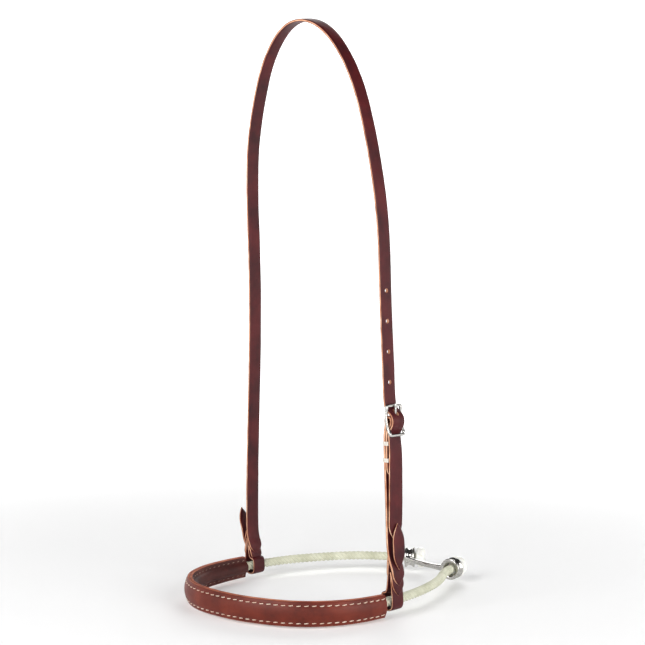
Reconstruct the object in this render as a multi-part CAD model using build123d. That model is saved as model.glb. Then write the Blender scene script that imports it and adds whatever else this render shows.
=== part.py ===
from build123d import *
import math
import os

# A leather-covered rope noseband hung from a single-strap headstall, as worn, in millimetres.
# +Z is up, -Y points to the nose, +X is the near (buckle) side.
# The origin is the middle of the crown's underside, where the headstall rests on the poll.

# ---- Driving dimensions ----------------------------------------------------------------------
STRAP_WIDTH = 15.9
STRAP_THICK = 2.8
ROPE_DIAMETER = 9.5
COVER_HEIGHT = 25.4
COVER_THICK = 2.4
LINER_THICK = 2.2
RING_Z = -584.0  # height of the rope's centre line below the poll seat

CROWN_Z = STRAP_THICK / 2
HALF_WIDTH = STRAP_WIDTH / 2
HALF_THICK = STRAP_THICK / 2
ROPE_RADIUS = ROPE_DIAMETER / 2

# The rope's route round the muzzle, as (x, y): from the far rope end, along the far cheek,
# round the nose and back along the near cheek to the near rope end.
ROPE_ROUTE = [
    (23.8, 154.9), (0.0, 137.1), (-30.0, 115.0), (-51.0, 81.0), (-68.0, 45.0),
    (-75.5, 7.0), (-78.0, -34.0), (-73.0, -77.0), (-53.0, -110.0), (-17.0, -127.0),
    (26.0, -125.0), (64.0, -114.0), (98.0, -93.0), (119.0, -64.0), (129.0, -36.0),
    (131.5, 9.0), (126.0, 51.0), (113.0, 92.0), (90.2, 127.5), (85.8, 149.4),
]
COVER_FIRST, COVER_LAST = 6, 14  # the route's corners that the leather cover wraps
FAR_ROPE_X, NEAR_ROPE_X = -75.7, 130.7  # where the rope crosses y = 0, inside the strap loops

# The strap loops round the rope: room for the rope to tip in them.
LOOP_SIDE_GAP = 1.1
LOOP_BOTTOM, LOOP_TOP = -6.8, 6.9  # the tunnel's floor and roof, from the rope's centre
LOOP_HALF = ROPE_RADIUS + LOOP_SIDE_GAP + HALF_THICK  # strap centre line to rope centre

# The buckle lies in its own plane: s runs up along the strap, n points outwards.
BUCKLE_X, BUCKLE_Z = 131.9, RING_Z + 178.7
BUCKLE_TILT = 10.5  # degrees, top end inwards
BUCKLE_WIDTH, BUCKLE_HEIGHT = 23.0, 32.0
BAR_RADIUS = 1.5
BOW = 2.5  # how far the end bars stand out from the centre bar
END_BAR_S = BUCKLE_HEIGHT / 2 - BAR_RADIUS
SIDE_BOW_S = END_BAR_S - BAR_RADIUS - 0.4  # the sides start to bow here, clear of the end bars
PRONG_THICK, PRONG_WIDTH = 2.1, 3.0
PRONG_RISE, PRONG_SLOPE = 2.25, 0.225

HOLE_RADIUS = 2.2
HOLE_HEIGHTS = [216.0, 246.0, 276.0, 306.0]  # free adjustment holes, above the rope
HOLE_IN_USE_S, HOLE_IN_USE_N = 7.0, 3.9
HOLE_IN_USE_LENGTH, HOLE_IN_USE_WIDTH = 8.5, 4.2

STITCH_PITCH, STITCH_LENGTH, STITCH_WIDTH, STITCH_THICK = 7.0, 4.4, 1.1, 0.6
STITCH_ROW_Z = 8.7

EYE_LENGTH, EYE_RADIUS, EYE_THROAT = 10.5, 11.2, 6.2
EYE_MOUTH, EYE_WAIST = 7.8, 9.6
EYE_TO_KNOT = 1.2
KNOT_RADIUS, KNOT_LENGTH, KNOT_ROUND = 11.5, 11.0, 4.0
LINK_BAR_HEIGHT, LINK_BAR_WIDTH = 6.2, 4.6


# ---- Helpers ---------------------------------------------------------------------------------
def smooth_path(name, points, share=0.45, fixed=None):
    """Straight runs joined by tangent arcs, each as large as its two runs allow."""
    fixed = fixed or {}
    radii = []
    for i in range(1, len(points) - 1):
        before = points[i] - points[i - 1]
        after = points[i + 1] - points[i]
        turn = math.radians(before.get_angle(after))
        run = min(before.length, after.length)
        radii.append(fixed.get(i, share * run / math.tan(turn / 2)))
    print(name, "radii", [round(r) for r in radii])
    return FilletPolyline(*points, radius=radii)


def section_sweep(path, face):
    """Sweeps a face drawn in (outward or sideways, up) along a level or upright path."""
    tangent = path % 0
    side = Vector(0, 0, 1).cross(tangent) * -1
    start = Plane(origin=path @ 0, x_dir=side, z_dir=tangent)
    return sweep(start * face, path=path)


def strap(path, width=STRAP_WIDTH, thick=STRAP_THICK):
    """A flat strap of rectangular section along a path in the XZ plane."""
    start = Plane(origin=path @ 0, x_dir=(0, 1, 0), z_dir=path % 0)
    return sweep(start * Rectangle(width, thick), path=path)


def upright(points, width=STRAP_WIDTH):
    """A block with the given (x, z) outline, as wide as the strap along Y."""
    face = make_face(Polyline(*[(x, 0, z) for x, z in points], close=True))
    return extrude(face, amount=width / 2, dir=(0, 1, 0), both=True)


def above_ring(x, height):
    return Vector(x, 0, RING_Z + height)


def on_buckle(s, n, y=0.0):
    """A point in the buckle's own directions, up the strap and outwards."""
    tilt = math.radians(BUCKLE_TILT)
    x = BUCKLE_X - s * math.sin(tilt) + n * math.cos(tilt)
    z = BUCKLE_Z + s * math.cos(tilt) + n * math.sin(tilt)
    return Vector(x, y, z)


def buckle_plane(s=0.0, n=0.0):
    """A plane on the buckle: its x runs up the strap and its y outwards."""
    tilt = math.radians(BUCKLE_TILT)
    up = (-math.sin(tilt), 0, math.cos(tilt))
    return Plane(origin=on_buckle(s, n), x_dir=up, z_dir=(0, 1, 0))


def leaf_cutter(low, high, point_top, point_bottom):
    """A leaf-shaped prism along X, for tapering a strap's end. Heights are above the rope."""
    half = HALF_WIDTH + 0.1
    outline = [(0, low), (half, low + point_bottom), (half, high - point_top), (0, high)]
    outline += [(-half, high - point_top), (-half, low + point_bottom)]
    corners = [(0, y, RING_Z + z) for y, z in outline]
    face = make_face(Polyline(*corners, close=True))
    return extrude(face, amount=400, dir=(1, 0, 0), both=True)


# ---- Crown strap -----------------------------------------------------------------------------
def rope_loop(name, rope_x, top):
    """The strap's U round the rope, open at the top, with legs up to the given heights."""
    floor = LOOP_BOTTOM - HALF_THICK
    corner = LOOP_HALF - 0.05
    points = [
        above_ring(rope_x - LOOP_HALF, top[0]),
        above_ring(rope_x - LOOP_HALF, floor),
        above_ring(rope_x + LOOP_HALF, floor),
        above_ring(rope_x + LOOP_HALF, top[1]),
    ]
    return strap(smooth_path(name, points, fixed={1: corner, 2: corner}))


def crown_strap():
    outer = FAR_ROPE_X - LOOP_HALF
    inner = FAR_ROPE_X + LOOP_HALF
    over_poll = [
        above_ring(-80.2, 22), above_ring(-79.6, 100), above_ring(-72.5, 292),
        above_ring(-80.5, 440), above_ring(-69, 502), above_ring(-51, 553),
        Vector(-20, 0, CROWN_Z), Vector(18, 0, CROWN_Z), above_ring(53, 561),
        above_ring(83, 515), above_ring(103, 452), above_ring(118, 376),
        above_ring(121, 290), above_ring(125.2, 222), on_buckle(23, -1.6),
        on_buckle(11.2, -1.5), on_buckle(4.5, 6.3), on_buckle(-4.5, 6.3),
        on_buckle(-11.2, -1.5), on_buckle(-24, -1.9), above_ring(134.9, 136),
        above_ring(135.1, 96), above_ring(134.2, 54),
    ]
    under_bars = {15: 6.0, 18: 8.0}
    main = strap(smooth_path("crown_strap", over_poll, fixed=under_bars))
    loop = rope_loop("far loop", FAR_ROPE_X, (26, 12))
    braid = upright([
        (outer - HALF_THICK, RING_Z + LOOP_TOP), (inner + HALF_THICK, RING_Z + LOOP_TOP),
        (inner + HALF_THICK, RING_Z + 10), (-74.5, RING_Z + 18), (-78.6, RING_Z + 32),
        (-81.8, RING_Z + 32), (outer - HALF_THICK, RING_Z + 22),
    ])
    tongue_route = [above_ring(outer, 12), above_ring(outer - 3.5, 32), above_ring(-98, 61)]
    tongue = strap(smooth_path("far tongue", tongue_route))
    tongue = tongue & leaf_cutter(-40, 60, 22, 20)
    body = main + loop + braid + tongue
    tail_end = leaf_cutter(50, 800, 20, 24)
    tail_zone = Pos(150, 0, RING_Z + 60) * Box(60, 40, 60)
    body = (body - tail_zone) + (body & tail_zone & tail_end)
    for height in HOLE_HEIGHTS:
        punch = Pos(122, 0, RING_Z + height) * Rot(0, 90, 0) * Cylinder(HOLE_RADIUS, 30)
        body -= punch
    slope = Plane(
        origin=on_buckle(HOLE_IN_USE_S, HOLE_IN_USE_N),
        x_dir=on_buckle(4.5, 6.3) - on_buckle(11.2, -1.5),
        z_dir=(on_buckle(4.5, 6.3) - on_buckle(11.2, -1.5)).cross(Vector(0, 1, 0)),
    )
    slot = SlotOverall(HOLE_IN_USE_LENGTH, HOLE_IN_USE_WIDTH)
    return body - extrude(slope * slot, amount=4, both=True)


# ---- Cheek strap -----------------------------------------------------------------------------
def cheek_strap():
    outer = NEAR_ROPE_X + LOOP_HALF
    inner = NEAR_ROPE_X - LOOP_HALF
    fold = 3.3
    route = [
        above_ring(131.2, 124), above_ring(130.2, 146), on_buckle(-14.5, -4.6),
        on_buckle(-9.0, -3.4), on_buckle(-3.4, fold), on_buckle(fold, fold), on_buckle(fold, -fold),
        on_buckle(-3.2, -3.5), on_buckle(-9.5, -6.6), on_buckle(-14.5, -7.9), above_ring(127.2, 140),
        above_ring(129.4, 100), above_ring(130.0, 66), above_ring(132.2, 30),
    ]
    main = strap(smooth_path("cheek_strap", route, fixed={5: 3.2, 6: 3.2}))
    loop = rope_loop("near loop", NEAR_ROPE_X, (12, 12))
    braid = upright([
        (inner - HALF_THICK, RING_Z + LOOP_TOP), (outer + HALF_THICK, RING_Z + LOOP_TOP),
        (outer + HALF_THICK, RING_Z + 12), (139.6, RING_Z + 38), (131.0, RING_Z + 38),
        (130.6, RING_Z + 18), (inner - HALF_THICK, RING_Z + 11),
    ])
    leaf_route = [above_ring(137.2, 33), above_ring(138.5, 52), above_ring(138.3, 76)]
    leaf = strap(smooth_path("leaf", leaf_route)) & leaf_cutter(0, 75, 16, 20)
    prong_slot = buckle_plane() * Pos(0.5, 1.0) * Rectangle(13, 14)
    slot = extrude(prong_slot, amount=2.2, both=True)
    return main + loop + braid + leaf - slot


def fold_ties():
    """Two bands of waxed thread lashed round the folded cheek strap, six turns each."""
    ties = []
    for height, centre_x in ((156.5, 128.5), (140.0, 128.85)):
        inside = Rectangle(STRAP_THICK * 2 + 0.8, STRAP_WIDTH + 0.1)
        outside = Rectangle(STRAP_THICK * 2 + 1.8, STRAP_WIDTH + 1.3)
        band = extrude(outside - inside, amount=2.0, both=True)
        ties.append(Pos(centre_x, 0, RING_Z + height) * band)
    return Compound(children=ties)


# ---- Buckle ----------------------------------------------------------------------------------
def buckle_frame():
    """A cast centre-bar frame whose bowed sides carry the end bars outwards."""
    half = BUCKLE_HEIGHT / 2
    side = BUCKLE_WIDTH / 2
    under, over = BOW - BAR_RADIUS, BOW + BAR_RADIUS
    inner = Line((-half, under), (-SIDE_BOW_S, under))
    dip = ThreePointArc((-SIDE_BOW_S, under), (0, -BAR_RADIUS), (SIDE_BOW_S, under))
    rise = Polyline((SIDE_BOW_S, under), (half, under), (half, over), (SIDE_BOW_S, over))
    crest = ThreePointArc((SIDE_BOW_S, over), (0, BAR_RADIUS), (-SIDE_BOW_S, over))
    back = Polyline((-SIDE_BOW_S, over), (-half, over), (-half, under))
    profile = make_face(inner + dip + rise + crest + back)
    plate = extrude(buckle_plane() * profile, amount=side, both=True)
    face = Plane(origin=on_buckle(0, 0), x_dir=buckle_plane().x_dir,
                 z_dir=on_buckle(0, 1) - on_buckle(0, 0))
    outline = RectangleRounded(BUCKLE_HEIGHT, BUCKLE_WIDTH, 5)
    window = RectangleRounded(BUCKLE_HEIGHT - 4 * BAR_RADIUS, BUCKLE_WIDTH - 5.6, 2.4)
    ring = extrude(face * (outline - window), amount=12, both=True)
    bar = extrude(buckle_plane() * Circle(BAR_RADIUS), amount=side - 1, both=True)
    return (plate & ring) + bar


def buckle_prong():
    """The tongue: a curl round the centre bar and a tapered finger that rests on the top bar."""
    curl = Circle(2.9) - Circle(BAR_RADIUS + 0.06)
    half = PRONG_THICK / 2
    tip = END_BAR_S + 2.2
    low, high = PRONG_RISE - half, PRONG_RISE + half
    finger = make_face(Polyline(
        (0.6, low + 1.3), (3.0, low + 3.0 * PRONG_SLOPE), (tip, low + tip * PRONG_SLOPE),
        (tip + 0.5, low + 0.9 + tip * PRONG_SLOPE), (tip - 0.6, high + tip * PRONG_SLOPE),
        (0.6, high + 0.1), close=True))
    shape = curl + (finger - Circle(BAR_RADIUS + 0.06))
    return extrude(buckle_plane() * shape, amount=PRONG_WIDTH / 2, both=True)


# ---- Noseband --------------------------------------------------------------------------------
ROPE_POINTS = [Vector(x, y, RING_Z) for x, y in ROPE_ROUTE]


def rope():
    path = smooth_path("noseband_rope", ROPE_POINTS)
    tube = section_sweep(path, Circle(ROPE_RADIUS))
    section = math.pi * ROPE_RADIUS**2
    print("rope length", round(path.length, 1), "mm; volume over section times length",
          round(tube.volume / (section * path.length), 4))
    return tube


def cover_path():
    """The part of the rope's route that the cover wraps, between the middles of two runs."""
    first = (ROPE_POINTS[COVER_FIRST - 1] + ROPE_POINTS[COVER_FIRST]) * 0.5
    last = (ROPE_POINTS[COVER_LAST] + ROPE_POINTS[COVER_LAST + 1]) * 0.5
    corners = ROPE_POINTS[COVER_FIRST:COVER_LAST + 1]
    radii = {}
    for i, corner in enumerate(corners, start=1):
        before = corner - ROPE_POINTS[COVER_FIRST + i - 2]
        after = ROPE_POINTS[COVER_FIRST + i] - corner
        turn = math.radians(before.get_angle(after))
        radii[i] = 0.45 * min(before.length, after.length) / math.tan(turn / 2)
    return smooth_path("cover", [first, *corners, last], fixed=radii)


def noseband_cover():
    """The outer strip, bowed a little over the rope."""
    half = COVER_HEIGHT / 2
    rope_side = ROPE_RADIUS + 0.15
    edge = rope_side - 3.4
    inside = ThreePointArc((edge, -half), (rope_side, 0), (edge, half))
    top = Line((edge, half), (edge + COVER_THICK, half))
    outside = ThreePointArc((edge + COVER_THICK, half), (rope_side + COVER_THICK, 0),
                            (edge + COVER_THICK, -half))
    bottom = Line((edge + COVER_THICK, -half), (edge, -half))
    return section_sweep(cover_path(), make_face(inside + top + outside + bottom))


def noseband_liner():
    """The inner strip: flat flanges against the outer strip, and a bulge round the rope."""
    half = COVER_HEIGHT / 2
    gap = ROPE_RADIUS + 0.2
    bulge = Circle(gap + LINER_THICK) - Circle(gap)
    bulge &= Pos(-4.4, 0) * Rectangle(10, 20)
    flange = [(-0.9, half), (1.2, half), (2.6, 9.8), (3.2, 8.0), (0.6, 5.05),
              (-1.7, 4.8), (-2.6, 6.65)]
    upper = make_face(Polyline(*flange, close=True))
    lower = make_face(Polyline(*[(n, -z) for n, z in flange], close=True))
    return section_sweep(cover_path(), bulge + upper + lower)


def stitching(row_z):
    """One row of saddle stitches: a short thread rod in every pitch, on both faces."""
    path = cover_path()
    count = int(path.length / STITCH_PITCH)
    rod = Box(STITCH_THICK, STITCH_LENGTH, STITCH_WIDTH)
    faces = (6.05 + STITCH_THICK / 2, -2.25 - STITCH_THICK / 2)
    stitches = []
    for i in range(count):
        at = (i + 0.5) / count
        tangent = path % at
        side = Vector(0, 0, 1).cross(tangent) * -1
        for outward in faces:
            middle = path @ at + side * outward + Vector(0, 0, row_z)
            stitches.append(Plane(origin=middle, x_dir=side, z_dir=(0, 0, 1)) * rod)
    return Compound(children=stitches)


# ---- Chin link and rope ends -----------------------------------------------------------------
def eye_place(end, inward):
    """The direction out of the rope's end, and the middle of the eye round it."""
    out = (end - inward).normalized()
    return out, end - out * (EYE_TO_KNOT + EYE_LENGTH / 2)


FAR_OUT, FAR_EYE = eye_place(ROPE_POINTS[0], ROPE_POINTS[1])
NEAR_OUT, NEAR_EYE = eye_place(ROPE_POINTS[-1], ROPE_POINTS[-2])


def eye(middle, out):
    """A barrel with a flared mouth at each end and a waist outside."""
    half = EYE_LENGTH / 2
    bore = ThreePointArc((EYE_MOUTH, -half), (EYE_THROAT, 0), (EYE_MOUTH, half))
    top = Line((EYE_MOUTH, half), (EYE_RADIUS, half))
    waist = ThreePointArc((EYE_RADIUS, half), (EYE_WAIST, 0), (EYE_RADIUS, -half))
    bottom = Line((EYE_RADIUS, -half), (EYE_MOUTH, -half))
    ring = revolve(Plane.XZ * make_face(bore + top + waist + bottom), axis=Axis.Z)
    rims = [e for e in ring.edges() if abs(abs(e.center().Z) - half) < 0.01]
    return Plane(origin=middle, z_dir=out) * fillet(rims, 1.2)


def chin_link():
    up = Vector(0, 0, 1)
    far_side = FAR_OUT.cross(up)
    near_side = NEAR_OUT.cross(up) * -1
    start = FAR_EYE + far_side * 8.0 - FAR_OUT * 2.5
    finish = NEAR_EYE + near_side * 8.0 - NEAR_OUT * 2.5
    middle_a = start + (finish - start) * 0.3 - Vector(0, 2.5, 0)
    middle_b = start + (finish - start) * 0.7 - Vector(0, 2.5, 0)
    path = smooth_path("link bar", [start, middle_a, middle_b, finish])
    bar = section_sweep(path, Ellipse(LINK_BAR_WIDTH / 2, LINK_BAR_HEIGHT / 2))
    link = eye(FAR_EYE, FAR_OUT) + eye(NEAR_EYE, NEAR_OUT) + bar
    for middle, out in ((FAR_EYE, FAR_OUT), (NEAR_EYE, NEAR_OUT)):
        link -= Plane(origin=middle, z_dir=out) * Cylinder(EYE_THROAT, EYE_LENGTH * 3)
    return link


def rope_end(end, out):
    """The sealed knot: a round button too large for the eye."""
    button = Cylinder(KNOT_RADIUS, KNOT_LENGTH)
    button = fillet(button.edges().filter_by(GeomType.CIRCLE), KNOT_ROUND)
    return Plane(origin=end + out * KNOT_LENGTH / 2, z_dir=out) * button


# ---- Writing ---------------------------------------------------------------------------------
NODES = {
    "crown_strap": crown_strap(),
    "cheek_strap": cheek_strap(),
    "fold_ties": fold_ties(),
    "buckle_frame": buckle_frame(),
    "buckle_prong": buckle_prong(),
    "noseband_rope": rope(),
    "noseband_cover": noseband_cover(),
    "noseband_liner": noseband_liner(),
    "upper_stitching": stitching(STITCH_ROW_Z),
    "lower_stitching": stitching(-STITCH_ROW_Z),
    "chin_link": chin_link(),
    "rope_end_far": rope_end(ROPE_POINTS[0], FAR_OUT),
    "rope_end_near": rope_end(ROPE_POINTS[-1], NEAR_OUT),
}
print("far eye", FAR_EYE, "near eye", NEAR_EYE)

os.makedirs("parts", exist_ok=True)
for node, shape in NODES.items():
    export_step(shape, f"parts/{node}.step")
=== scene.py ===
import math

import bmesh
import bpy
from mathutils import Matrix, Vector, noise


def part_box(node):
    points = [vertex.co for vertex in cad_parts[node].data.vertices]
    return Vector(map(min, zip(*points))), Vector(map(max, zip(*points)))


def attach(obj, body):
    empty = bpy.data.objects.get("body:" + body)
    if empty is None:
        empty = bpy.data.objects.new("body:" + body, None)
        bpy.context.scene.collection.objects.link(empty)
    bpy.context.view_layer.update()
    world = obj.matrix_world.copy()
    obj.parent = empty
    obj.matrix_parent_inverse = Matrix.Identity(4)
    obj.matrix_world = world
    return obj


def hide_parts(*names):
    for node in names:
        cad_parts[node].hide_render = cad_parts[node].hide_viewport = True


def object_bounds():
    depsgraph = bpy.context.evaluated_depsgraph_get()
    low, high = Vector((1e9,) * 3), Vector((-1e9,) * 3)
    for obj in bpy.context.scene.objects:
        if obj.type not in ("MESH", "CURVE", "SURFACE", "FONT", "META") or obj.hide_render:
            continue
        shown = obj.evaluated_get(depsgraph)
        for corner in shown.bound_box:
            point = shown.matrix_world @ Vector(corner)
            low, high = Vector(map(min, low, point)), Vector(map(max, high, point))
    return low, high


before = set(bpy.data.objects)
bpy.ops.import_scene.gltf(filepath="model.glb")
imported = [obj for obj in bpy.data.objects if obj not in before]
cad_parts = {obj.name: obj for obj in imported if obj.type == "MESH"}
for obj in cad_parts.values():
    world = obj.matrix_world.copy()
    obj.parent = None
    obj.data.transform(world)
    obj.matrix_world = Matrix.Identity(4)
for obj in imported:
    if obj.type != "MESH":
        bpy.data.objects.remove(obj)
cad_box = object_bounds()

# A leather-covered rope noseband on a single-strap headstall. Shapes are worked out in millimetres
# in the part's own frame and turned into metres where their vertices are made.
MM = 0.001

# ---- Driving dimensions, as in the part ---------------------------------------------------------
STRAP_WIDTH, STRAP_THICK = 15.9, 2.8
ROPE_RADIUS = 4.75
COVER_HALF = 12.7
LOOP_HALF = 7.25  # from the rope's centre to the middle of a strap loop's side
FAR_ROPE_X, NEAR_ROPE_X = -75.7, 130.7
END_KNOT_RADIUS, END_KNOT_LENGTH, EYE_TO_KNOT, EYE_LENGTH = 11.5, 11.0, 1.2, 10.5
BUCKLE_TILT = math.radians(10.5)
STITCH_PITCH, STITCH_LENGTH, STITCH_ROW_Z = 7.0, 4.4, 8.7
TIE_PLACES = ((156.5, 128.5), (140.0, 128.85))  # (height above the rope, x)
BRAID_THICK, BRAID_FLOOR = 2.2, -8.1  # a slit strap's layers, and the loops' floor below the rope
SKIVE = 0.8  # how wide the corners of a cut-down tip are
HOLE_RADIUS = 2.2
HOLE_PLACES = ((124.6, 216), (123.0, 246), (121.8, 276), (121.0, 306))  # (x, height above the rope)
# The buckle's end bars: how far they are from the centre bar and how far they stand out from it, and
# where along the sides that height is reached.
FRAME_END, FRAME_BOW, FRAME_BOW_FROM = 14.5, 2.5, 12.6
COVER_THICK = 2.4
LINK_BAR_HALF_WIDE, LINK_BAR_HALF_HIGH = 2.4, 3.2

knot_low, knot_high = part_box("rope_end_near")
buckle_low, buckle_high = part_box("buckle_frame")
RING_Z = round((knot_low.z + knot_high.z) / 2 / MM, 1)
BUCKLE_X, BUCKLE_Z = 131.9, RING_Z + 178.7
BUCKLE_HALF = (buckle_high.y - buckle_low.y) / 2 / MM

# The rope's route round the muzzle, as (x, y), with the part's own points.
ROPE_ROUTE = [
    (23.8, 154.9), (0.0, 137.1), (-30.0, 115.0), (-51.0, 81.0), (-68.0, 45.0),
    (-75.5, 7.0), (-78.0, -34.0), (-73.0, -77.0), (-53.0, -110.0), (-17.0, -127.0),
    (26.0, -125.0), (64.0, -114.0), (98.0, -93.0), (119.0, -64.0), (129.0, -36.0),
    (131.5, 9.0), (126.0, 51.0), (113.0, 92.0), (90.2, 127.5), (85.8, 149.4),
]
COVER_FIRST, COVER_LAST = 6, 14  # the route's corners that the leather cover wraps
UP = Vector((0, 0, 1))


# ---- Node materials -----------------------------------------------------------------------------
def srgb(red, green, blue):
    """A linear colour from the 0 to 255 values seen on a screen."""
    return tuple(((c / 255 + 0.055) / 1.055) ** 2.4 for c in (red, green, blue)) + (1.0,)


def node(tree, kind, settings=None, **inputs):
    """A shader node, with its settings and its inputs' values or links."""
    made = tree.nodes.new("ShaderNode" + kind)
    for key, value in (settings or {}).items():
        setattr(made, key, value)
    for key, value in inputs.items():
        socket = made.inputs[key.replace("_", " ")]
        if isinstance(value, bpy.types.NodeSocket):
            tree.links.new(value, socket)
        else:
            socket.default_value = value
    return made


def paint(name, **sockets):
    """A material with plain values on its shader. Returns it with its tree and shader."""
    made = bpy.data.materials.new(name)
    made.use_nodes = True
    shader = made.node_tree.nodes["Principled BSDF"]
    for key, value in sockets.items():
        shader.inputs[key.replace("_", " ")].default_value = value
    return made, made.node_tree, shader


def place(tree, source="Object", scale=(1, 1, 1), turn=0.0):
    """Texture coordinates in metres, stretched and turned."""
    coordinates = node(tree, "TexCoord").outputs[source]
    mapping = node(tree, "Mapping", Vector=coordinates, Scale=scale, Rotation=(0, 0, turn))
    return mapping.outputs["Vector"]


def ramp(tree, factor, *stops):
    """A colour that follows a factor through (position, colour) stops."""
    made = node(tree, "ValToRGB", Fac=factor)
    elements = made.color_ramp.elements
    while len(elements) < len(stops):
        elements.new(0.5)
    for element, (position, colour) in zip(elements, stops):
        element.position = position
        element.color = colour
    return made.outputs["Color"]


def spread(tree, value, low, high, start=0.0, stop=1.0, curve="LINEAR"):
    """A value from start to stop as a number from low to high."""
    made = node(tree, "MapRange", {"interpolation_type": curve}, Value=value)
    made.inputs["From Min"].default_value = start
    made.inputs["From Max"].default_value = stop
    made.inputs["To Min"].default_value = low
    made.inputs["To Max"].default_value = high
    return made.outputs["Result"]


def mix(tree, factor, first, second, mode="MIX"):
    """Two colours blended by a factor."""
    made = node(tree, "Mix", {"data_type": "RGBA", "blend_type": mode})
    for socket, value in ((made.inputs[0], factor), (made.inputs[6], first), (made.inputs[7], second)):
        if isinstance(value, bpy.types.NodeSocket):
            tree.links.new(value, socket)
        else:
            socket.default_value = value
    return made.outputs[2]


def bump(tree, height, depth, below=None):
    """A bump of the given depth in millimetres, on top of another one."""
    made = node(tree, "Bump", Height=height, Distance=depth * MM)
    if below is not None:
        tree.links.new(below, made.inputs["Normal"])
    return made.outputs["Normal"]


def leather(name, dark, middle, light, roughness, coat):
    """Dyed grain leather: cloudy dye, fine pores, faint lengthwise creases and a waxed finish."""
    made, tree, shader = paint(name, Coat_Weight=coat, Coat_Roughness=0.32, Specular_IOR_Level=0.22)
    clouds = node(tree, "TexNoise", Vector=place(tree), Scale=38, Detail=6, Roughness=0.62).outputs[0]
    streaks = node(tree, "TexNoise", Vector=place(tree, "UV", (30, 420, 1)), Scale=1, Detail=4).outputs[0]
    pores = node(tree, "TexVoronoi", Vector=place(tree), Scale=1150).outputs["Distance"]
    grain = node(tree, "TexNoise", Vector=place(tree), Scale=620, Detail=5, Roughness=0.6).outputs[0]
    dyed = ramp(tree, clouds, (0.3, dark), (0.52, middle), (0.72, light))
    dyed = mix(tree, spread(tree, streaks, 0.0, 0.3), dyed, dark)
    dyed = mix(tree, spread(tree, grain, 0.0, 0.22), dyed, dark, "MULTIPLY")
    tree.links.new(dyed, shader.inputs["Base Color"])
    tree.links.new(spread(tree, clouds, roughness + 0.14, roughness - 0.1), shader.inputs["Roughness"])
    relief = bump(tree, streaks, 0.05, bump(tree, grain, 0.07, bump(tree, pores, 0.05)))
    tree.links.new(relief, shader.inputs["Normal"])
    return made


def raw_edge(name, dark, middle, light):
    """A cut leather edge: undyed fibres lying along the strap."""
    made, tree, shader = paint(name, Roughness=0.72, Specular_IOR_Level=0.25)
    fibres = node(tree, "TexNoise", Vector=place(tree, "UV", (90, 900, 1)), Scale=1, Detail=5).outputs[0]
    clouds = node(tree, "TexNoise", Vector=place(tree), Scale=90, Detail=3).outputs[0]
    colour = ramp(tree, clouds, (0.3, dark), (0.5, middle), (0.7, light))
    colour = mix(tree, spread(tree, fibres, 0.0, 0.45), colour, dark)
    tree.links.new(colour, shader.inputs["Base Color"])
    tree.links.new(bump(tree, fibres, 0.12), shader.inputs["Normal"])
    return made


def nickel():
    """Plated casting: bright, with soft waves and faint handling marks."""
    made, tree, shader = paint("nickel", Metallic=1.0)
    waves = node(tree, "TexNoise", Vector=place(tree), Scale=160, Detail=3).outputs[0]
    marks = node(tree, "TexNoise", Vector=place(tree, "Object", (300, 60, 900)), Scale=2, Detail=4).outputs[0]
    tone = ramp(tree, marks, (0.35, srgb(150, 148, 145)), (0.65, srgb(205, 203, 198)))
    tree.links.new(tone, shader.inputs["Base Color"])
    tree.links.new(spread(tree, marks, 0.08, 0.2), shader.inputs["Roughness"])
    tree.links.new(bump(tree, marks, 0.01, bump(tree, waves, 0.06)), shader.inputs["Normal"])
    return made


def yarn(name, dark, light, across, roughness=0.62, turn=0.6):
    """Twisted filaments: bands that run round each strand, across millimetres apart, with painted shade
    darkening the grooves between them.
    """
    made, tree, shader = paint(name, Roughness=roughness, Specular_IOR_Level=0.4, Sheen_Weight=0.15)
    coordinates = place(tree, "UV", (1 / MM, 1 / MM, 1), turn)
    bands = node(tree, "TexWave", {"bands_direction": "Y"}, Vector=coordinates,
                 Scale=0.314 / across, Distortion=1.2, Detail=2.0).outputs["Fac"]
    fuzz = node(tree, "TexNoise", Vector=place(tree), Scale=900, Detail=4).outputs[0]
    soil = node(tree, "TexNoise", Vector=place(tree), Scale=60, Detail=3).outputs[0]
    colour = ramp(tree, soil, (0.3, dark), (0.65, light))
    # Painted shade: the colour goes towards the dark stop in the grooves between the bands.
    colour = mix(tree, spread(tree, bands, 0.3, 0.0), colour, dark)
    colour = mix(tree, spread(tree, fuzz, 0.0, 0.15), colour, dark, "MULTIPLY")
    tree.links.new(colour, shader.inputs["Base Color"])
    tree.links.new(bump(tree, fuzz, 0.04, bump(tree, bands, 0.12)), shader.inputs["Normal"])
    return made


def sealed():
    """Melted rope fibre: milky, glossy, slightly see-through."""
    made, tree, shader = paint("sealed_rope", Roughness=0.3, Subsurface_Weight=0.45, Subsurface_Scale=0.004,
                               Coat_Weight=0.5, Coat_Roughness=0.12)
    shader.inputs["Subsurface Radius"].default_value = (1.0, 0.9, 0.75)
    flow = node(tree, "TexNoise", Vector=place(tree), Scale=150, Detail=4, Distortion=1.5).outputs[0]
    colour = ramp(tree, flow, (0.3, srgb(214, 214, 206)), (0.5, srgb(234, 234, 228)),
                  (0.7, srgb(247, 247, 243)))
    tree.links.new(colour, shader.inputs["Base Color"])
    tree.links.new(bump(tree, flow, 0.25), shader.inputs["Normal"])
    return made


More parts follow.
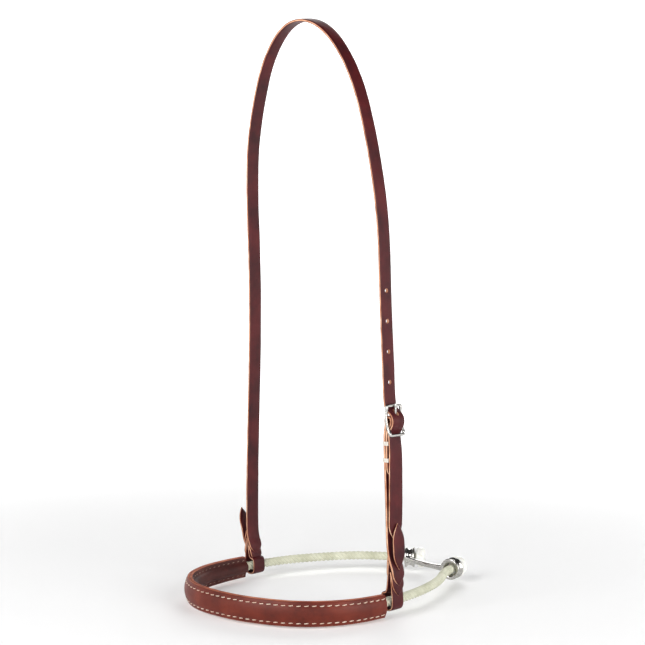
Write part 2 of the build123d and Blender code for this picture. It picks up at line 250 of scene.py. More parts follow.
STRAP_LEATHER = leather("strap_leather", srgb(50, 9, 14), srgb(76, 15, 19), srgb(92, 23, 24), 0.5, 0.04)
COVER_LEATHER = leather("cover_leather", srgb(78, 26, 16), srgb(106, 38, 23), srgb(126, 52, 33), 0.46, 0.06)
LINER_LEATHER = leather("liner_leather", srgb(52, 22, 20), srgb(76, 34, 29), srgb(96, 46, 38), 0.55, 0.02)
STRAP_EDGE = raw_edge("strap_edge", srgb(160, 104, 76), srgb(208, 154, 122), srgb(238, 196, 164))
COVER_EDGE = raw_edge("cover_edge", srgb(120, 58, 40), srgb(166, 92, 66), srgb(200, 128, 96))
NICKEL = nickel()
ROPE_YARN = yarn("rope_yarn", srgb(192, 192, 168), srgb(218, 218, 198), 0.9)
STITCH_THREAD = yarn("stitch_thread", srgb(214, 184, 160), srgb(246, 232, 214), 0.35)
# The stitch thread darkened with painted shade, for the stitches on the liner's inner side.
SHADED_THREAD = yarn("shaded_thread", srgb(104, 74, 60), srgb(168, 138, 116), 0.3)
WAXED_THREAD = yarn("waxed_thread", srgb(205, 196, 182), srgb(245, 240, 232), 0.3, 0.4)
SEALED_ROPE = sealed()


# ---- Mesh helpers -------------------------------------------------------------------------------
def smooth_line(points, step=1.5):
    """A smooth line through the middles of the runs between the given corners. Values that follow
    the place, such as a twist, are carried along."""
    corners = [Vector(p) for p in points]
    middles = [a.lerp(b, 0.5) for a, b in zip(corners, corners[1:])]
    bends = [(corners[0], corners[0].lerp(middles[0], 0.5), middles[0])]
    bends += zip(middles, corners[1:-1], middles[1:])
    bends.append((middles[-1], middles[-1].lerp(corners[-1], 0.5), corners[-1]))
    line = []
    for a, corner, b in bends:
        count = max(3, round(((corner - a).length + (b - corner).length) / step))
        line += [a.lerp(corner, i / count).lerp(corner.lerp(b, i / count), i / count) for i in range(count)]
    return line + [corners[-1]]


def smooth_outline(points, steps=4):
    """A closed smooth outline inside the given corners."""
    corners = [Vector(p) for p in points]
    outline = []
    for i, corner in enumerate(corners):
        a = corners[i - 1].lerp(corner, 0.5)
        b = corner.lerp(corners[(i + 1) % len(corners)], 0.5)
        shares = [k / steps for k in range(steps)]
        outline += [a.lerp(corner, t).lerp(corner.lerp(b, t), t) for t in shares]
    return outline


def skin(name, rings, materials, pick=lambda j: 0, closed=False, sharp=50):
    """An object whose surface joins rings of points, in millimetres. pick gives the material of each
    strip, UV runs along and around in metres, and open rings get end faces of the last material."""
    mesh = bpy.data.meshes.new(name)
    bm = bmesh.new()
    uv = bm.loops.layers.uv.new("UVMap")
    rows = [[bm.verts.new(Vector(p) * MM) for p in ring] for ring in rings]
    count, middle = len(rings[0]), rows[len(rows) // 2]
    around = [0.0]
    for j in range(count):
        around.append(around[-1] + (middle[(j + 1) % count].co - middle[j].co).length)
    along = [0.0]
    for a, b in zip(rows, rows[1:] + rows[:1]):
        along.append(along[-1] + (b[0].co - a[0].co).length)
    for i in range(len(rows) if closed else len(rows) - 1):
        this, following = rows[i], rows[(i + 1) % len(rows)]
        for j in range(count):
            k = (j + 1) % count
            face = bm.faces.new((this[j], this[k], following[k], following[j]))
            face.material_index = pick(j)
            places = ((i, j), (i, j + 1), (i + 1, j + 1), (i + 1, j))
            for loop, (at, side) in zip(face.loops, places):
                loop[uv].uv = (along[at], around[side])
    if not closed:
        for row in (rows[0], rows[-1]):
            face = bm.faces.new(row)
            face.material_index = len(materials) - 1
            for loop in face.loops:
                loop[uv].uv = (loop.vert.co.x + loop.vert.co.y, loop.vert.co.z)
    bmesh.ops.recalc_face_normals(bm, faces=bm.faces)
    bm.to_mesh(mesh)
    bm.free()
    for each in materials:
        mesh.materials.append(each)
    mesh.shade_smooth()
    mesh.set_sharp_from_angle(angle=math.radians(sharp))
    made = bpy.data.objects.new(name, mesh)
    bpy.context.scene.collection.objects.link(made)
    return made


def join(name, pieces):
    """Several meshes as one object, with shared materials merged."""
    bm = bmesh.new()
    for piece in pieces:
        bm.from_mesh(piece.data)
    mesh = bpy.data.meshes.new(name)
    bm.to_mesh(mesh)
    bm.free()
    for each in pieces[0].data.materials:
        mesh.materials.append(each)
    for piece in pieces:
        bpy.data.objects.remove(piece)
    made = bpy.data.objects.new(name, mesh)
    bpy.context.scene.collection.objects.link(made)
    return made


def apply_modifiers(piece, material=None):
    """Bakes a piece's modifiers into its mesh."""
    graph = bpy.context.evaluated_depsgraph_get()
    mesh = bpy.data.meshes.new_from_object(piece.evaluated_get(graph))
    piece.modifiers.clear()
    piece.data = mesh
    if material is not None:
        mesh.materials.clear()
        mesh.materials.append(material)
        mesh.shade_smooth()
    return piece


def cast(piece, voxel, material=NICKEL, smoothing=6):
    """Melts overlapping metal shapes into one casting with soft fillets."""
    remesh = piece.modifiers.new("cast", "REMESH")
    remesh.mode = "VOXEL"
    remesh.voxel_size = voxel * MM
    smooth = piece.modifiers.new("polish", "SMOOTH")
    smooth.factor = 0.5
    smooth.iterations = smoothing
    return apply_modifiers(piece, material)


def punch(piece, cutters):
    """Cuts real holes. The cutters' own material lines them."""
    for cutter in cutters:
        cut = piece.modifiers.new("hole", "BOOLEAN")
        cut.object = cutter
        cut.solver = "EXACT"
        cut.material_mode = "TRANSFER"
    bpy.context.view_layer.update()
    apply_modifiers(piece)
    for cutter in cutters:
        bpy.data.objects.remove(cutter)
    piece.data.set_sharp_from_angle(angle=math.radians(40))
    return piece


def tube_frames(line):
    """Two directions across a 3-D line at each point, turning as little as they can."""
    frames = []
    across = None
    for i, point in enumerate(line):
        along = (line[min(i + 1, len(line) - 1)] - line[max(i - 1, 0)]).normalized()
        if across is None:
            across = along.orthogonal().normalized()
        across = (across - along * across.dot(along)).normalized()
        frames.append((point, across, along.cross(across)))
    return frames


def tube(name, line, radius, material, sides=8):
    """A round tube along a line. radius may be a function of the share of the way along."""
    rings = []
    for i, (point, a, b) in enumerate(tube_frames(line)):
        size = radius(i / (len(line) - 1)) if callable(radius) else radius
        turns = [2 * math.pi * k / sides for k in range(sides)]
        rings.append([point + (a * math.cos(t) + b * math.sin(t)) * size for t in turns])
    return skin(name, rings, [material])


def belongs(piece, body, slot, *nodes):
    """Gives a piece its body and hides the part's nodes that it stands in for; slot is not used."""
    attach(piece, body)
    if nodes:
        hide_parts(*nodes)
    return piece


# ---- Strap leather ------------------------------------------------------------------------------
def on_buckle(s, n):
    """(x, height above the rope) of a place in the buckle's own directions, up and outwards."""
    x = BUCKLE_X - s * math.sin(BUCKLE_TILT) + n * math.cos(BUCKLE_TILT)
    z = BUCKLE_Z + s * math.cos(BUCKLE_TILT) + n * math.sin(BUCKLE_TILT)
    return x, z - RING_Z


def strap_places(points, step=1.5):
    """Places along a strap in the plane y = 0, from corners given as (x, height above the rope) with
    an optional twist in degrees: the middle, the direction across and the outward direction."""
    corners = [(p[0], RING_Z + p[1], p[2] if len(p) > 2 else 0.0) for p in points]
    line = smooth_line(corners, step)
    places = []
    for i, (x, z, twist) in enumerate(line):
        ahead, behind = line[min(i + 1, len(line) - 1)], line[max(i - 1, 0)]
        along = Vector((ahead[0] - behind[0], 0, ahead[1] - behind[1])).normalized()
        across = Matrix.Rotation(math.radians(twist), 3, along) @ Vector((0, 1, 0))
        places.append((Vector((x, 0, z)), across, along.cross(across)))
    return places


def strap_section(width, thick, skive=0.0):
    """A strap's cross-section with rounded corners and slightly full faces, as (across, outward).
    skive cuts the outward corners down by that much."""
    half, edge = width / 2, thick / 2
    corner = min(0.7, width * 0.3, thick * 0.3)
    rounding = corner * 0.29
    steps = (-1, -0.6, -0.2, 0.2, 0.6, 1)
    flat = max(0.05, half - corner - skive)
    outside = [(flat * k, edge + 0.12 * (1 - k * k)) for k in steps]
    side = [(half - rounding, edge - rounding - skive * 0.6), (half, edge - corner - skive * 0.6),
            (half, corner - edge), (half - rounding, rounding - edge)]
    inside = [((corner - half) * k, -edge - 0.12 * (1 - k * k)) for k in steps]
    return outside + side + inside + [(-a, b) for a, b in reversed(side)]


EDGE_STRIPS = (7, 17)  # the strips of strap_section that are cut edge; the corners are dyed
SKIVED_STRIPS = (6, 18)  # the outward corners, which are cut edge too where they are skived


def leather_strap(name, points, width=STRAP_WIDTH, thick=STRAP_THICK, start_tip=0.0, end_tip=0.0, step=1.5,
                  skive=0.0):
    """A flat strap along its places, with hand-cut unevenness and leaf-shaped tips where asked. skive
    is how wide the tips' outward corners are cut down."""
    places = strap_places(points, step)
    run = [0.0]
    for (a, _, _), (b, _, _) in zip(places, places[1:]):
        run.append(run[-1] + (b - a).length)
    rings = []
    for (middle, across, outward), gone in zip(places, run):
        share, cut = 1.0, 0.0
        for tip, away in ((start_tip, gone), (end_tip, run[-1] - gone)):
            if away < tip:
                share = min(share, math.sin(math.pi / 2 * away / tip) ** 0.85)
            if away < tip * 1.6:
                cut = max(cut, skive * min(1.0, 1.6 - away / tip))
        wobble = noise.noise(middle * 0.035 + Vector((len(name), 0, 0)))
        waves = noise.noise(middle * 0.09 + Vector((0, len(name), 0)))
        here = max(0.5, (width + 0.35 * wobble) * share)
        deep = thick * (0.7 + 0.3 * min(1.0, share * 1.5)) + 0.12 * waves
        shift = outward * (0.12 * waves) + across * (0.15 * wobble)
        section = strap_section(here, deep, min(cut, here * 0.3))
        rings.append([middle + shift + across * a + outward * b for a, b in section])
    raw = EDGE_STRIPS + SKIVED_STRIPS if skive else EDGE_STRIPS
    return skin(name, rings, [STRAP_LEATHER, STRAP_EDGE], lambda strip: 1 if strip in raw else 0)


def hole_cutter(name, middle, axis, length=12.0, radius=HOLE_RADIUS, stretch=Vector((0, 0, 0))):
    """A round or long cutter through a strap. stretch lengthens it to both sides."""
    side = axis.cross(UP if abs(axis.z) < 0.9 else Vector((0, 1, 0))).normalized()
    other = axis.cross(side)
    rings = []
    for end in (-length / 2, length / 2):
        ring = []
        for k in range(32):
            turn = 2 * math.pi * k / 32
            round_part = (side * math.cos(turn) + other * math.sin(turn)) * radius
            pushed = stretch if round_part.dot(stretch) > 0 else -stretch
            ring.append(middle + axis * end + round_part + pushed)
        rings.append(ring)
    return skin(name, rings, [STRAP_EDGE])


def crown():
    """The long strap: far end, over the poll, through the buckle and down to its tip."""
    points = [
        (-73.2, 13.0, 0), (-73.6, 22.0, 0), (-79.4, 33.0, 0), (-80.0, 60, 0), (-79.4, 110, 0),
        (-72.5, 292, 0), (-80.5, 440, 0), (-69, 502, 0), (-51, 553, 4), (-20, -RING_Z + 1.4, 9),
        (18, -RING_Z + 1.4, 9), (53, 561, 5), (83, 515, 1), (103, 452, 0), (118, 376, 0),
        (121, 290, -2), (125.2, 222, 0), (*on_buckle(23, -1.6), 0), (*on_buckle(11.6, -1.7), 0),
        (*on_buckle(4.5, 6.3), 0), (*on_buckle(-4.5, 6.3), 0), (*on_buckle(-11.6, -1.7), 0),
        (*on_buckle(-24, -1.9), 2), (134.9, 136, 6), (135.1, 96, 8), (134.4, 60, 6),
    ]
    strap = leather_strap("crown_leather", points, start_tip=11, end_tip=17)
    outward = Vector((1, 0, 0))
    holes = [hole_cutter("punch", Vector((x, 0, RING_Z + height)), outward)
             for x, height in HOLE_PLACES]
    climb = Vector((*on_buckle(4.5, 6.3), 0)) - Vector((*on_buckle(11.6, -1.7), 0))
    slope = Vector((climb.x, 0, climb.y)).normalized()
    x, height = on_buckle(7.0, 3.9)
    holes.append(hole_cutter("slot", Vector((x, 0, RING_Z + height)), slope.cross(Vector((0, 1, 0))),
                             7.0, 2.1, slope * 2.1))
    punch(strap, holes)
    belongs(strap, "headstall", "strap_leather", "crown_strap")


def cheek():
    """The short strap: its fold round the buckle's bar, the pointed turned-back end and the run down
    to the near braid."""
    points = [
        (131.2, 122), (130.2, 146), on_buckle(-14.5, -4.6), on_buckle(-9, -3.0), on_buckle(-3.6, 3.7),
        on_buckle(3.9, 3.9), on_buckle(3.9, -3.9), on_buckle(-3.2, -3.9), on_buckle(-9.5, -6.6),
        on_buckle(-14.5, -7.9), (127.2, 140), (129.4, 100), (130.2, 72), (131.2, 52),
        (134.4, 40), (138.6, 31), (139.6, 24), (139.4, 16.5),
    ]
    strap = leather_strap("cheek_leather", points, start_tip=9, end_tip=12, step=1.0, skive=SKIVE)
    x, height = on_buckle(0.5, 0.2)
    lengthwise = Vector((-math.sin(BUCKLE_TILT), 0, math.cos(BUCKLE_TILT)))
    outward = Vector((0, 1, 0)).cross(lengthwise)
    slot = hole_cutter("slot", Vector((x, 0, RING_Z + height)), outward, 16.0, 2.3, lengthwise * 4.6)
    punch(strap, [slot])
    belongs(strap, "headstall", "strap_leather", "cheek_strap")


def braids():
    """Both slit braids: the loop round the rope, the layers that cross as Vs and the free tip."""
    far_out, far_in = FAR_ROPE_X - LOOP_HALF, FAR_ROPE_X + LOOP_HALF
    near_out, near_in = NEAR_ROPE_X + LOOP_HALF, NEAR_ROPE_X - LOOP_HALF
    pieces = [
        ("near_loop", [(132.8, 40), (131.4, 18), (129.6, 8.6), (124.4, 8.6), (near_in, 3),
                       (near_in, BRAID_FLOOR), (near_out, BRAID_FLOOR), (near_out, 5), (136.6, 16),
                       (135.4, 28)], 15.4, 0, 0),
        ("near_back", [(131.6, 44), (131.0, 34), (130.8, 26), (131.0, 18)], 15.2, 0, 12),
        ("near_cross", [(135.2, 30, 0), (137.4, 22, 0), (139.0, 15, 0), (139.0, 6.5, 0)], 15.8, 0, 12),
        ("near_tip", [(138.0, 78, 6), (139.8, 54, 5), (140.3, 32.5, 2)], 14.6, 19, 17),
        ("far_loop", [(-79.6, 38), (-78.0, 18), (-75.6, 8.6), (-69.6, 8.6), (far_in, 3),
                      (far_in, BRAID_FLOOR), (far_out, BRAID_FLOOR), (far_out, 5), (-81.6, 18),
                      (-80.8, 30)], 15.4, 0, 0),
        ("far_back", [(-77.6, 22), (-73.6, 15), (-72.6, 10), (-73.0, 4.5)], 15.0, 0, 9),
        ("far_cross_upper", [(-81.0, 38), (-83.2, 30), (-85.0, 23), (-85.2, 16)], 15.4, 0, 12),
        ("far_cross_lower", [(-81.4, 27), (-83.4, 19), (-84.3, 12), (-84.0, 6)], 15.2, 0, 11),
        ("far_tip", [(-98.0, 61, -3), (-87.4, 34, -3), (-85.0, 13, 0)], 14.4, 17, 20),
    ]
    for name, points, width, start_tip, end_tip in pieces:
        skive = SKIVE if end_tip else 0.0
        strap = leather_strap(name, points, width, BRAID_THICK, start_tip, end_tip, 0.8, skive)
        belongs(strap, "headstall", "strap_leather")


def ties():
    """Waxed thread lashed round the folded cheek strap in close turns."""
    wraps = []
    for height, centre in TIE_PLACES:
        deep, wide, corner = 3.55, STRAP_WIDTH / 2 + 0.45, 1.2
        outline = smooth_outline([(-deep, -wide + corner), (-deep, -wide), (-deep + corner, -wide),
                                  (deep - corner, -wide), (deep, -wide), (deep, -wide + corner),
                                  (deep, wide - corner), (deep, wide), (deep - corner, wide),
                                  (-deep + corner, wide), (-deep, wide), (-deep, wide - corner)], 3)
        turns, rise = 6, 0.66
        line = []
        for i in range(turns * len(outline) + 1):
            a, b = outline[i % len(outline)]
            lift = (i / len(outline) - turns / 2) * rise
            line.append(Vector((centre + a, b, RING_Z + height + lift)))
        wraps.append(tube("wrap", line, 0.37, WAXED_THREAD))
    belongs(join("fold_wraps", wraps), "headstall", "waxed_thread", "fold_ties")


# ---- Buckle -------------------------------------------------------------------------------------
def buckle_point(s, n, y):
    """The point at a place in the buckle's own directions, y across."""
    x, height = on_buckle(s, n)
    return Vector((x, y, RING_Z + height))


def buckle():
    """The frame: round end bars, wide bowed sides and a round centre bar, cast in one."""
    end, side, bend = FRAME_END, BUCKLE_HALF - 1.4, 3.5
    quarter = [(0, side), (end - bend, side), (end, side), (end, side - bend)]
    half = quarter + [(end, 0)] + [(s, -y) for s, y in reversed(quarter)]
    outline = smooth_outline(half + [(-s, y) for s, y in reversed(half[1:-1])], 6)
    line = [buckle_point(s, FRAME_BOW * min(1.0, abs(s) / FRAME_BOW_FROM) ** 2, y) for s, y in outline]
    outward = buckle_point(0, 1, 0) - buckle_point(0, 0, 0)
    rings = []
    for i, point in enumerate(line):
        along = (line[(i + 1) % len(line)] - line[i - 1]).normalized()
        beside = along.cross(outward).normalized()
        above = beside.cross(along)
        share = min(1.0, abs(outline[i][1]) / side) ** 6
        ring = []
        for k in range(20):
            turn = 2 * math.pi * k / 20
            a = math.copysign(abs(math.cos(turn)) ** 0.75, math.cos(turn)) * (1.45 + 0.15 * share)
            b = math.copysign(abs(math.sin(turn)) ** 0.75, math.sin(turn)) * 1.42
            ring.append(point + beside * a + above * b)
        rings.append(ring)
    loop = skin("frame_loop", rings, [NICKEL], closed=True)
    bar_line = [buckle_point(0, 0, side * (k / 8 - 1)) for k in range(17)]
    bar = tube("bar", bar_line, lambda t: 1.3 + 0.25 * abs(2 * t - 1) ** 3, NICKEL, 20)
    frame_piece = cast(join("buckle_casting", [loop, bar]), 0.26)
    belongs(frame_piece, "buckle", "nickel_plate", "buckle_frame")


def prong():
    """The tongue: curled round the centre bar, straight over the strap, its tip worn round."""
    curl = [(2.2 * math.cos(t), 2.2 * math.sin(t)) for t in
            (math.radians(60 + 30 * k) for k in range(11, -1, -1))]
    finger = [(2.6, 2.7), (5.0, 3.35), (9.0, 4.27), (13.0, 5.2), (15.6, 5.8), (17.0, 5.5)]
    line = smooth_line(curl + finger, 0.5)
    rings = []
    for i, (s, n) in enumerate(line):
        ahead, behind = line[min(i + 1, len(line) - 1)], line[max(i - 1, 0)]
        point = buckle_point(s, n, 0)
        along = (buckle_point(*ahead, 0) - buckle_point(*behind, 0)).normalized()
        across = Vector((0, 1, 0))
        outward = along.cross(across)
        share = i / (len(line) - 1)
        rounding = min(1.0, (1 - share) * 12) ** 0.5
        half_wide = (1.5 - 0.35 * share) * max(0.15, rounding)
        half_thick = min(0.62 + 1.0 * max(0.0, share - 0.3), 0.98) * max(0.2, rounding)
        ring = []
        for k in range(16):
            turn = 2 * math.pi * k / 16
            a = math.copysign(abs(math.cos(turn)) ** 0.6, math.cos(turn)) * half_wide
            b = math.copysign(abs(math.sin(turn)) ** 0.6, math.sin(turn)) * half_thick
            ring.append(point + across * a + outward * b)
        rings.append(ring)
    belongs(skin("prong_tongue", rings, [NICKEL]), "prong", "nickel_plate", "buckle_prong")


# ---- Rope ---------------------------------------------------------------------------------------
def route_line():
    """The rope's centre line: the points of a NURBS spline on the route, read from Blender."""
    curve = bpy.data.curves.new("route", "CURVE")
    curve.dimensions = "3D"
    spline = curve.splines.new("NURBS")
    spline.points.add(len(ROPE_ROUTE) - 1)
    for point, (x, y) in zip(spline.points, ROPE_ROUTE):
        point.co = (x, y, RING_Z, 1)
    spline.order_u = 3
    spline.use_endpoint_u = True
    spline.resolution_u = 40
    holder = bpy.data.objects.new("route", curve)
    mesh = bpy.data.meshes.new_from_object(holder)
    line = [v.co.copy() for v in mesh.vertices]
    bpy.data.objects.remove(holder)
    bpy.data.meshes.remove(mesh)
    return line


def line_places(line):
    """Each point of a level line with the length gone, the direction along and the outward one."""
    gone, places = 0.0, []
    for i, point in enumerate(line):
        if i:
            gone += (point - line[i - 1]).length
        along = (line[min(i + 1, len(line) - 1)] - line[max(i - 1, 0)]).normalized()
        places.append((gone, point, along, along.cross(UP)))
    return places


ROPE_PLACES = line_places(route_line())
STRANDS, LAY, STRAND_RADIUS = 4, 20.0, 1.98


def rope():
    """Four hard-laid strands that wind round the route."""
    strands = []
    for k in range(STRANDS):
        line = []
        for gone, point, _, outward in ROPE_PLACES:
            turn = 2 * math.pi * (k / STRANDS - gone / LAY)
            away = ROPE_RADIUS - STRAND_RADIUS
            line.append(point + (outward * math.cos(turn) + UP * math.sin(turn)) * away)
        strands.append(tube("strand", line, STRAND_RADIUS, ROPE_YARN, 12))
    belongs(join("rope_strands", strands), "noseband", "lariat_rope", "noseband_rope")


def end_knot(name, node_name, end, before):
    """A melted and pressed rope end: a milky button with the strands' lobes still in it."""
    tip, inner = Vector((*end, RING_Z)), Vector((*before, RING_Z))
    out = (tip - inner).normalized()
    side = out.cross(UP)
    rings = []
    steps = 28
    for i in range(steps + 1):
        t = math.pi * i / steps
        reach = END_KNOT_LENGTH / 2 * (1 - math.copysign(abs(math.cos(t)) ** 0.62, math.cos(t)))
        wide = END_KNOT_RADIUS * max(0.02, math.sin(t) ** 0.55)
        ring = []
        for k in range(64):
            turn = 2 * math.pi * k / 64
            direction = side * math.cos(turn) + UP * math.sin(turn)
            lobes = 1 + 0.028 * math.sin(STRANDS * turn + 0.25 * reach)
            dents = noise.noise(direction * 1.6 + out * reach * 0.2 + Vector((end[0], 0, 0)))
            ring.append(tip + out * reach + direction * wide * (lobes - 0.03 + 0.035 * dents))
        rings.append(ring)
    belongs(skin(name, rings, [SEALED_ROPE]), "noseband", "sealed_knot", node_name)


# ---- Noseband leather ---------------------------------------------------------------------------
def cover_places():
    """The part of the route that the cover wraps, between the middles of two runs."""
    y_first = (ROPE_ROUTE[COVER_FIRST - 1][1] + ROPE_ROUTE[COVER_FIRST][1]) / 2
    y_last = (ROPE_ROUTE[COVER_LAST][1] + ROPE_ROUTE[COVER_LAST + 1][1]) / 2
    return [p for p in ROPE_PLACES if p[1].y < (y_first if p[1].x < 0 else y_last)]


COVER_PLACES = cover_places()


def groove(z):
    """How deep the pulled-in stitch line is at a height."""
    return 0.38 * math.exp(-(((abs(z) - STITCH_ROW_Z) / 0.85) ** 2))


def outer_face(z):
    """The cover's outer surface: how far outward it stands at a height."""
    return 7.3 - 3.4 * (z / COVER_HALF) ** 2 - groove(z)


def inner_face(z):
    """The liner's inner surface: flat flanges and a bulge round the rope."""
    flange = -0.9 - 1.7 * (COVER_HALF - abs(z)) / 5.6
    swell = -7.1 * math.sqrt(max(0.0, 1 - (abs(z) / 7.1) ** 2))
    return min(flange + groove(z) if abs(z) > 6.0 else flange, swell)


def hang(gone):
    """How far the noseband's leather droops at a length along the route, and how much of its full
    height is left where its ends close up."""
    share = (gone - COVER_PLACES[0][0]) / (COVER_PLACES[-1][0] - COVER_PLACES[0][0])
    return -0.4 - 2.2 * share ** 1.2, 0.97 - 0.08 * abs(2 * share - 1) ** 3


def leather_band(name, node_name, outline, pick, materials, slot):
    """A strip of leather along the cover's places, from its (outward, up) section."""
    rings = []
    for gone, point, _, outward in COVER_PLACES:
        droop, height = hang(gone)
        pull = 0.16 * noise.noise(point * 0.05 + Vector((len(name), 0, 0)))
        edge = 0.2 * noise.noise(point * 0.03 + Vector((0, 0, len(name))))
        rings.append([point + outward * (n + pull) + UP * (z * height + droop + edge * abs(z) / COVER_HALF)
                      for n, z in outline])
    band = skin(name, rings, materials, pick)
    belongs(band, "noseband", slot, node_name)


def cover():
    """The outer strip, bowed over the rope, with its cut edges above and below."""
    steps, corner = 40, 0.55
    reach = COVER_HALF - corner
    heights = [-reach + 2 * reach * k / steps for k in range(steps + 1)]
    outside = [(outer_face(z), z) for z in heights]
    inside = [(outer_face(z) - COVER_THICK + groove(z), z) for z in reversed(heights)]
    top = [(outside[-1][0] - 0.3, COVER_HALF - 0.12), (outside[-1][0] - 1.2, COVER_HALF),
           (inside[0][0] + 0.3, COVER_HALF - 0.12)]
    bottom = [(n, -z) for n, z in reversed(top)]
    count = len(outside)
    edges = [*range(count, count + 3), *range(2 * count + 3, 2 * count + 6)]
    leather_band("cover_strip", "noseband_cover", outside + top + inside + bottom,
                 lambda j: 1 if j in edges else 0, [COVER_LEATHER, COVER_EDGE], "cover_leather")


def liner():
    """The inner strip, pressed round the rope."""
    steps, corner = 48, 0.45
    reach = COVER_HALF - corner
    heights = [reach - 2 * reach * k / steps for k in range(steps + 1)]
    inside = [(inner_face(z), z) for z in heights]
    backs = [1.3, 1.8, 2.4, 2.9, 0.9, -2.4, -4.4, -4.95, -4.4, -2.4, 0.9, 2.9, 2.4, 1.8, 1.3]
    behind = [(n, -reach + 2 * reach * k / (len(backs) - 1)) for k, n in enumerate(backs)]
    top = [(behind[-1][0] - 0.3, COVER_HALF - 0.1), (inside[0][0] + 0.3, COVER_HALF - 0.1)]
    bottom = [(n, -z) for n, z in reversed(top)]
    first, second = len(inside), len(inside) + len(bottom) + len(behind)
    edges = [*range(first - 1, first + 2), *range(second - 1, second + 2)]
    leather_band("liner_strip", "noseband_liner", inside + bottom + behind + top,
                 lambda j: 1 if j in edges else 0, [LINER_LEATHER, COVER_EDGE], "cover_leather")


def place_at(places, distance):
    """The place at a length along, between the two nearest ones."""
    start = places[0][0]
    for before, after in zip(places, places[1:]):
        if after[0] - start >= distance:
            share = (distance - before[0] + start) / (after[0] - before[0])
            return before[1].lerp(after[1], share), before[2], before[3]
    return places[-1][1:]


def stitching(name, node_name, row_z):
    """One row of saddle stitches: two twisted plies that dive into the leather, bold outside and
    small inside, where the thread is darkened with painted shade."""
    total = COVER_PLACES[-1][0] - COVER_PLACES[0][0]
    count = int(total / STITCH_PITCH)
    sides = [(name, STITCH_THREAD, outer_face(row_z) + 0.16, 1, 0.28, STITCH_LENGTH, 0.31),
             (name + "_inside", SHADED_THREAD, inner_face(row_z) - 0.02, -1, -0.2, 3.2, 0.24)]
    for piece_name, thread, away, sign, slant, length, ply_radius in sides:
        plies = []
        for i in range(count):
            distance = (i + 0.5) * total / count
            middle, along, outward = place_at(COVER_PLACES, distance)
            droop, height = hang(distance + COVER_PLACES[0][0])
            jitter = 0.12 * math.sin(i * 2.4 + away)
            for ply in (0, math.pi):
                line = []
                for k in range(11):
                    t = k / 10 * 2 - 1
                    dive = 0.95 * abs(t) ** 5
                    twist = ply + t * 3.6
                    out = away + sign * (0.14 - dive + ply_radius * 0.6 * math.sin(twist))
                    up = row_z * height + droop + slant * t + jitter + ply_radius * 0.6 * math.cos(twist)
                    line.append(middle + along * (t * length / 2) + outward * out + UP * up)
                plies.append(tube("ply", line, ply_radius, thread, 6))
        row = belongs(join(piece_name, plies), "noseband", "saddle_thread")
        if sign > 0:
            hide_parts(node_name)


# ---- Chin link ----------------------------------------------------------------------------------
def end_frame(end, before):
    """The direction out of the rope's end, and the middle of the eye round it."""
    tip, inner = Vector((*end, RING_Z)), Vector((*before, RING_Z))
    out = (tip - inner).normalized()
    return out, tip - out * (EYE_TO_KNOT + EYE_LENGTH / 2)


def eye(out, middle):
    """A ring round the rope with rolled rims and a hollow waist."""
    profile = smooth_outline([(6.1, 0), (6.3, -3.0), (8.0, -5.5), (11.0, -5.7), (11.8, -4.2), (9.9, -2.4),
                              (9.2, 0), (9.9, 2.4), (11.8, 4.2), (11.0, 5.7), (8.0, 5.5), (6.3, 3.0)], 4)
    side = out.cross(UP)
    rings = []
    for k in range(72):
        turn = 2 * math.pi * k / 72
        direction = side * math.cos(turn) + UP * math.sin(turn)
        rings.append([middle + direction * r + out * a for r, a in profile])
    return skin("eye", rings, [NICKEL], closed=True)


def chin_link():
    """Both eyes and the grooved bar between them, cast in one."""
    far_out, far_eye = end_frame(ROPE_ROUTE[0], ROPE_ROUTE[1])
    near_out, near_eye = end_frame(ROPE_ROUTE[-1], ROPE_ROUTE[-2])
    start = far_eye + far_out.cross(UP) * 9.0 - far_out * 2.4
    finish = near_eye - near_out.cross(UP) * 9.0 - near_out * 2.4
    nose_side = Vector((0, 2.5, 0))
    line = smooth_line([start, start.lerp(finish, 0.3) - nose_side, start.lerp(finish, 0.7) - nose_side,
                        finish], 1.0)
    rings = []
    for i, point in enumerate(line):
        share = i / (len(line) - 1)
        along = (line[min(i + 1, len(line) - 1)] - line[max(i - 1, 0)]).normalized()
        side = along.cross(UP)
        swell = 1 + 0.45 * abs(2 * share - 1) ** 4
        ring = []
        for k in range(28):
            turn = 2 * math.pi * k / 28
            hollow = 1 - 0.38 * max(0.0, math.sin(turn)) ** 6
            wide = LINK_BAR_HALF_WIDE * swell * math.cos(turn)
            high = LINK_BAR_HALF_HIGH * swell * hollow * math.sin(turn)
            ring.append(point + side * wide + UP * high)
        rings.append(ring)
    bar = skin("link_bar", rings, [NICKEL])
    shapes = [eye(far_out, far_eye), eye(near_out, near_eye), bar]
    link = cast(join("link_casting", shapes), 0.34, smoothing=4)
    belongs(link, "link", "nickel_plate", "chin_link")


# ---- Studio -------------------------------------------------------------------------------------
FLOOR_GLOW, WALL_GLOW = 0.1, 0.75
GLOW_FROM_TO = (0.6, 1.6)  # metres from the origin
DARK_RIM_FROM_TO = (1.1, 1.3)  # metres above the origin


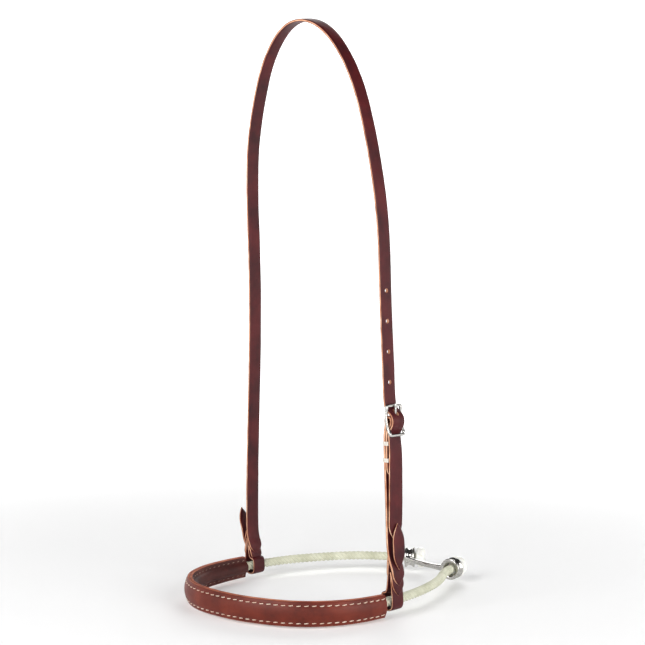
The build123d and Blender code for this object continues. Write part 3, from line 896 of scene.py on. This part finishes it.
def floor():
    """A pale round floor that sweeps up into a wall all round. The wall glows softly, and its top is
    dark, so that the metal has something to reflect."""
    low = cad_box[0].z / MM - 3.5
    profile = smooth_line([(40, low), (2400, low), (4200, low), (4400, low + 2600)], 120)
    rings = [[(r * math.cos(2 * math.pi * k / 96), r * math.sin(2 * math.pi * k / 96), z) for k in range(96)]
             for r, z in profile]
    made, tree, shader = paint("studio_floor", Roughness=0.85, Specular_IOR_Level=0.1)
    shader.inputs["Emission Color"].default_value = (1, 1, 1, 1)
    where = place(tree)
    away = node(tree, "VectorMath", {"operation": "LENGTH"}, Vector=where).outputs["Value"]
    height = node(tree, "SeparateXYZ", Vector=where).outputs["Z"]
    outer = spread(tree, away, FLOOR_GLOW, WALL_GLOW, *GLOW_FROM_TO, "SMOOTHSTEP")
    below_rim = spread(tree, height, 1.0, 0.0, *DARK_RIM_FROM_TO)
    glow = node(tree, "Math", {"operation": "MULTIPLY"})
    tree.links.new(outer, glow.inputs[0])
    tree.links.new(below_rim, glow.inputs[1])
    tone = ramp(tree, below_rim, (0.0, (0.04, 0.04, 0.04, 1)), (1.0, (0.9, 0.9, 0.9, 1)))
    tree.links.new(tone, shader.inputs["Base Color"])
    tree.links.new(glow.outputs[0], shader.inputs["Emission Strength"])
    skin("studio_floor", rings, [made])


def area_light(name, position, target, size, power, colour=(1, 1, 1)):
    data = bpy.data.lights.new(name, "AREA")
    data.shape = "RECTANGLE"
    data.size, data.size_y = size
    data.energy = power
    data.color = colour
    light = bpy.data.objects.new(name, data)
    light.location = position
    light.rotation_euler = (Vector(target) - Vector(position)).to_track_quat("-Z", "Y").to_euler()
    bpy.context.scene.collection.objects.link(light)


def studio():
    floor()
    middle = (cad_box[0] + cad_box[1]) / 2
    area_light("key", (0.2, -2.0, 0.7), middle, (1.4, 1.4), 42)
    area_light("fill", (2.0, 0.2, 0.2), middle, (1.2, 1.8), 26)
    area_light("back", (-1.2, 1.8, 0.9), middle, (1.2, 1.2), 20)
    world = bpy.data.worlds.new("studio")
    world.use_nodes = True
    world.node_tree.nodes["Background"].inputs["Color"].default_value = (1, 1, 1, 1)
    world.node_tree.nodes["Background"].inputs["Strength"].default_value = 0.85
    bpy.context.scene.world = world
    bpy.context.scene.view_settings.view_transform = "Standard"


CAMERA_PLACE = (0.9678, -0.9064, -0.252)
CAMERA_YAW, CAMERA_PITCH = math.radians(45.92), math.radians(-2.654)
CAMERA_LENS = 70.38  # millimetres, on a 36 mm sensor


def camera():
    data = bpy.data.cameras.new("camera")
    data.lens = CAMERA_LENS
    data.sensor_width = 36.0
    made = bpy.data.objects.new("camera", data)
    made.location = CAMERA_PLACE
    forward = Vector((-math.sin(CAMERA_YAW) * math.cos(CAMERA_PITCH),
                      math.cos(CAMERA_YAW) * math.cos(CAMERA_PITCH), math.sin(CAMERA_PITCH)))
    made.rotation_euler = forward.to_track_quat("-Z", "Y").to_euler()
    bpy.context.scene.collection.objects.link(made)
    bpy.context.scene.camera = made


camera()
crown()
cheek()
braids()
ties()
buckle()
prong()
rope()
end_knot("far_button", "rope_end_far", ROPE_ROUTE[0], ROPE_ROUTE[1])
end_knot("near_button", "rope_end_near", ROPE_ROUTE[-1], ROPE_ROUTE[-2])
cover()
liner()
stitching("upper_stitches", "upper_stitching", STITCH_ROW_Z)
stitching("lower_stitches", "lower_stitching", -STITCH_ROW_Z)
chin_link()
studio()
